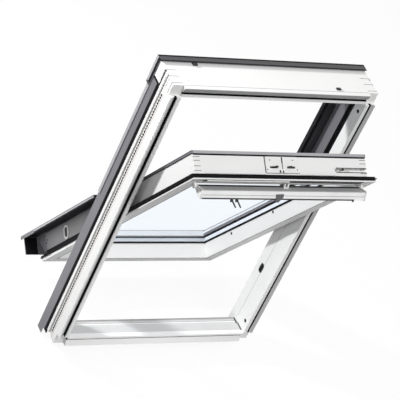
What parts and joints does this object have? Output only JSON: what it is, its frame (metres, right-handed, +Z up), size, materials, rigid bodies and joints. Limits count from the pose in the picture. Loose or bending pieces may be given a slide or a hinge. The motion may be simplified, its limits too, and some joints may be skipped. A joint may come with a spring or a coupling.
{
  "type": "roof skylight",
  "caption": "Centre-pivot roof window: white timber frame, grey metal cladding and a glazed sash turned open about its middle, with control bar, claw lock and barrel bolt.",
  "frame": {"origin": "centre of the underside of the sill timber, half way through the frame's depth", "axes": "+X to the right seen from the room, +Y outward through the window, +Z up the slope from sill to head"},
  "size_m": [0.788, 0.7096, 1.2305],
  "materials": {
    "painted_timber": "smooth white paint over jointed timber",
    "grey_cladding": "satin dark grey coating",
    "black_seal": "matt black",
    "clear_glass": "clear, faintly blue",
    "spacer_metal": "matt",
    "steel": "plain zinc-coated",
    "bar_aluminium": "pale anodised",
    "white_plastic": "fine grain",
    "grey_plastic": "fine grain",
    "black_plastic": "fine grain",
    "filter_felt": "felted"
  },
  "bodies": {
    "frame": {"bolt_bushes": "black_plastic", "cover_clip": "black_plastic", "cover_seal_left": "black_seal", "cover_seal_right": "black_seal", "frame_gasket": "black_seal", "frame_head": "painted_timber", "frame_jamb_left": "painted_timber", "frame_jamb_right": "painted_timber", "frame_sill": "painted_timber", "head_catch": "black_plastic", "head_cover": "grey_cladding", "hinge_frame_left": "steel", "hinge_frame_right": "steel", "jamb_bush_left": "black_plastic", "jamb_bush_right": "black_plastic", "jamb_cladding_left": "grey_cladding", "jamb_cladding_right": "grey_cladding", "jamb_gasket_left": "black_seal", "jamb_gasket_right": "black_seal", "jamb_liner_left": "grey_cladding", "jamb_liner_right": "grey_cladding", "sill_cladding": "grey_cladding", "striker_plate": "steel", "upper_side_cover_left": "grey_cladding", "upper_side_cover_right": "grey_cladding"},
    "sash": {"sash_top_rail": "painted_timber", "sash_bottom_rail": "painted_timber", "sash_stile_left": "painted_timber", "sash_stile_right": "painted_timber", "inner_pane": "clear_glass", "outer_pane": "clear_glass", "pane_spacer": "spacer_metal", "glazing_tape": "black_seal", "sash_gasket": "black_seal", "sash_top_cladding": "grey_cladding", "sash_bottom_cladding": "grey_cladding", "lock_casing": "white_plastic", "latch_pins": "steel", "bolt_guide": "white_plastic", "air_filter": "filter_felt", "bar_rod": "steel", "sash_side_cladding_left": "grey_cladding", "sash_side_cladding_right": "grey_cladding", "lower_side_cover_left": "grey_cladding", "lower_side_cover_right": "grey_cladding", "stile_sheet_left": "grey_cladding", "stile_sheet_right": "grey_cladding", "stile_bush_left": "white_plastic", "stile_bush_right": "white_plastic", "hinge_sash_left": "steel", "hinge_sash_right": "steel", "bar_bracket_left": "white_plastic", "bar_bracket_right": "white_plastic"},
    "control_bar": {"control_bar": "bar_aluminium", "bar_link": "grey_plastic", "bar_end_cap_left": "white_plastic", "bar_end_cap_right": "white_plastic"},
    "latch_left": {"latch_left": "steel"},
    "latch_right": {"latch_right": "steel"},
    "barrel_bolt": {"barrel_bolt": "white_plastic"}
  },
  "joints": [
    {"name": "sash_pivot", "type": "hinge", "parent": "frame", "child": "sash", "pos_m": [0, 0.0845, 0.589], "axis": [1, 0, 0], "range_deg": [-31.15, 129.1]},
    {"name": "control_bar_hinge", "type": "hinge", "parent": "sash", "child": "control_bar", "pos_m": [0, -0.26587, 0.95796], "axis": [1, 0, 0], "range_deg": [-37, 0]},
    {"name": "latch_left_hinge", "type": "hinge", "parent": "sash", "child": "latch_left", "pos_m": [-0.055, -0.22873, 1.0067], "axis": [0, 0.8558, 0.5173], "range_deg": [-18, 0]},
    {"name": "latch_right_hinge", "type": "hinge", "parent": "sash", "child": "latch_right", "pos_m": [0.055, -0.22873, 1.0067], "axis": [0, 0.8558, 0.5173], "range_deg": [0, 18]},
    {"name": "barrel_bolt_slide", "type": "slide", "parent": "sash", "child": "barrel_bolt", "axis": [1, 0, 0], "range_m": [0, 0.04]}
  ],
  "couplings": [
    {"joint": "latch_left_hinge", "follows": "control_bar_hinge", "ratio": 0.486},
    {"joint": "latch_right_hinge", "follows": "control_bar_hinge", "ratio": -0.486}
  ]
}
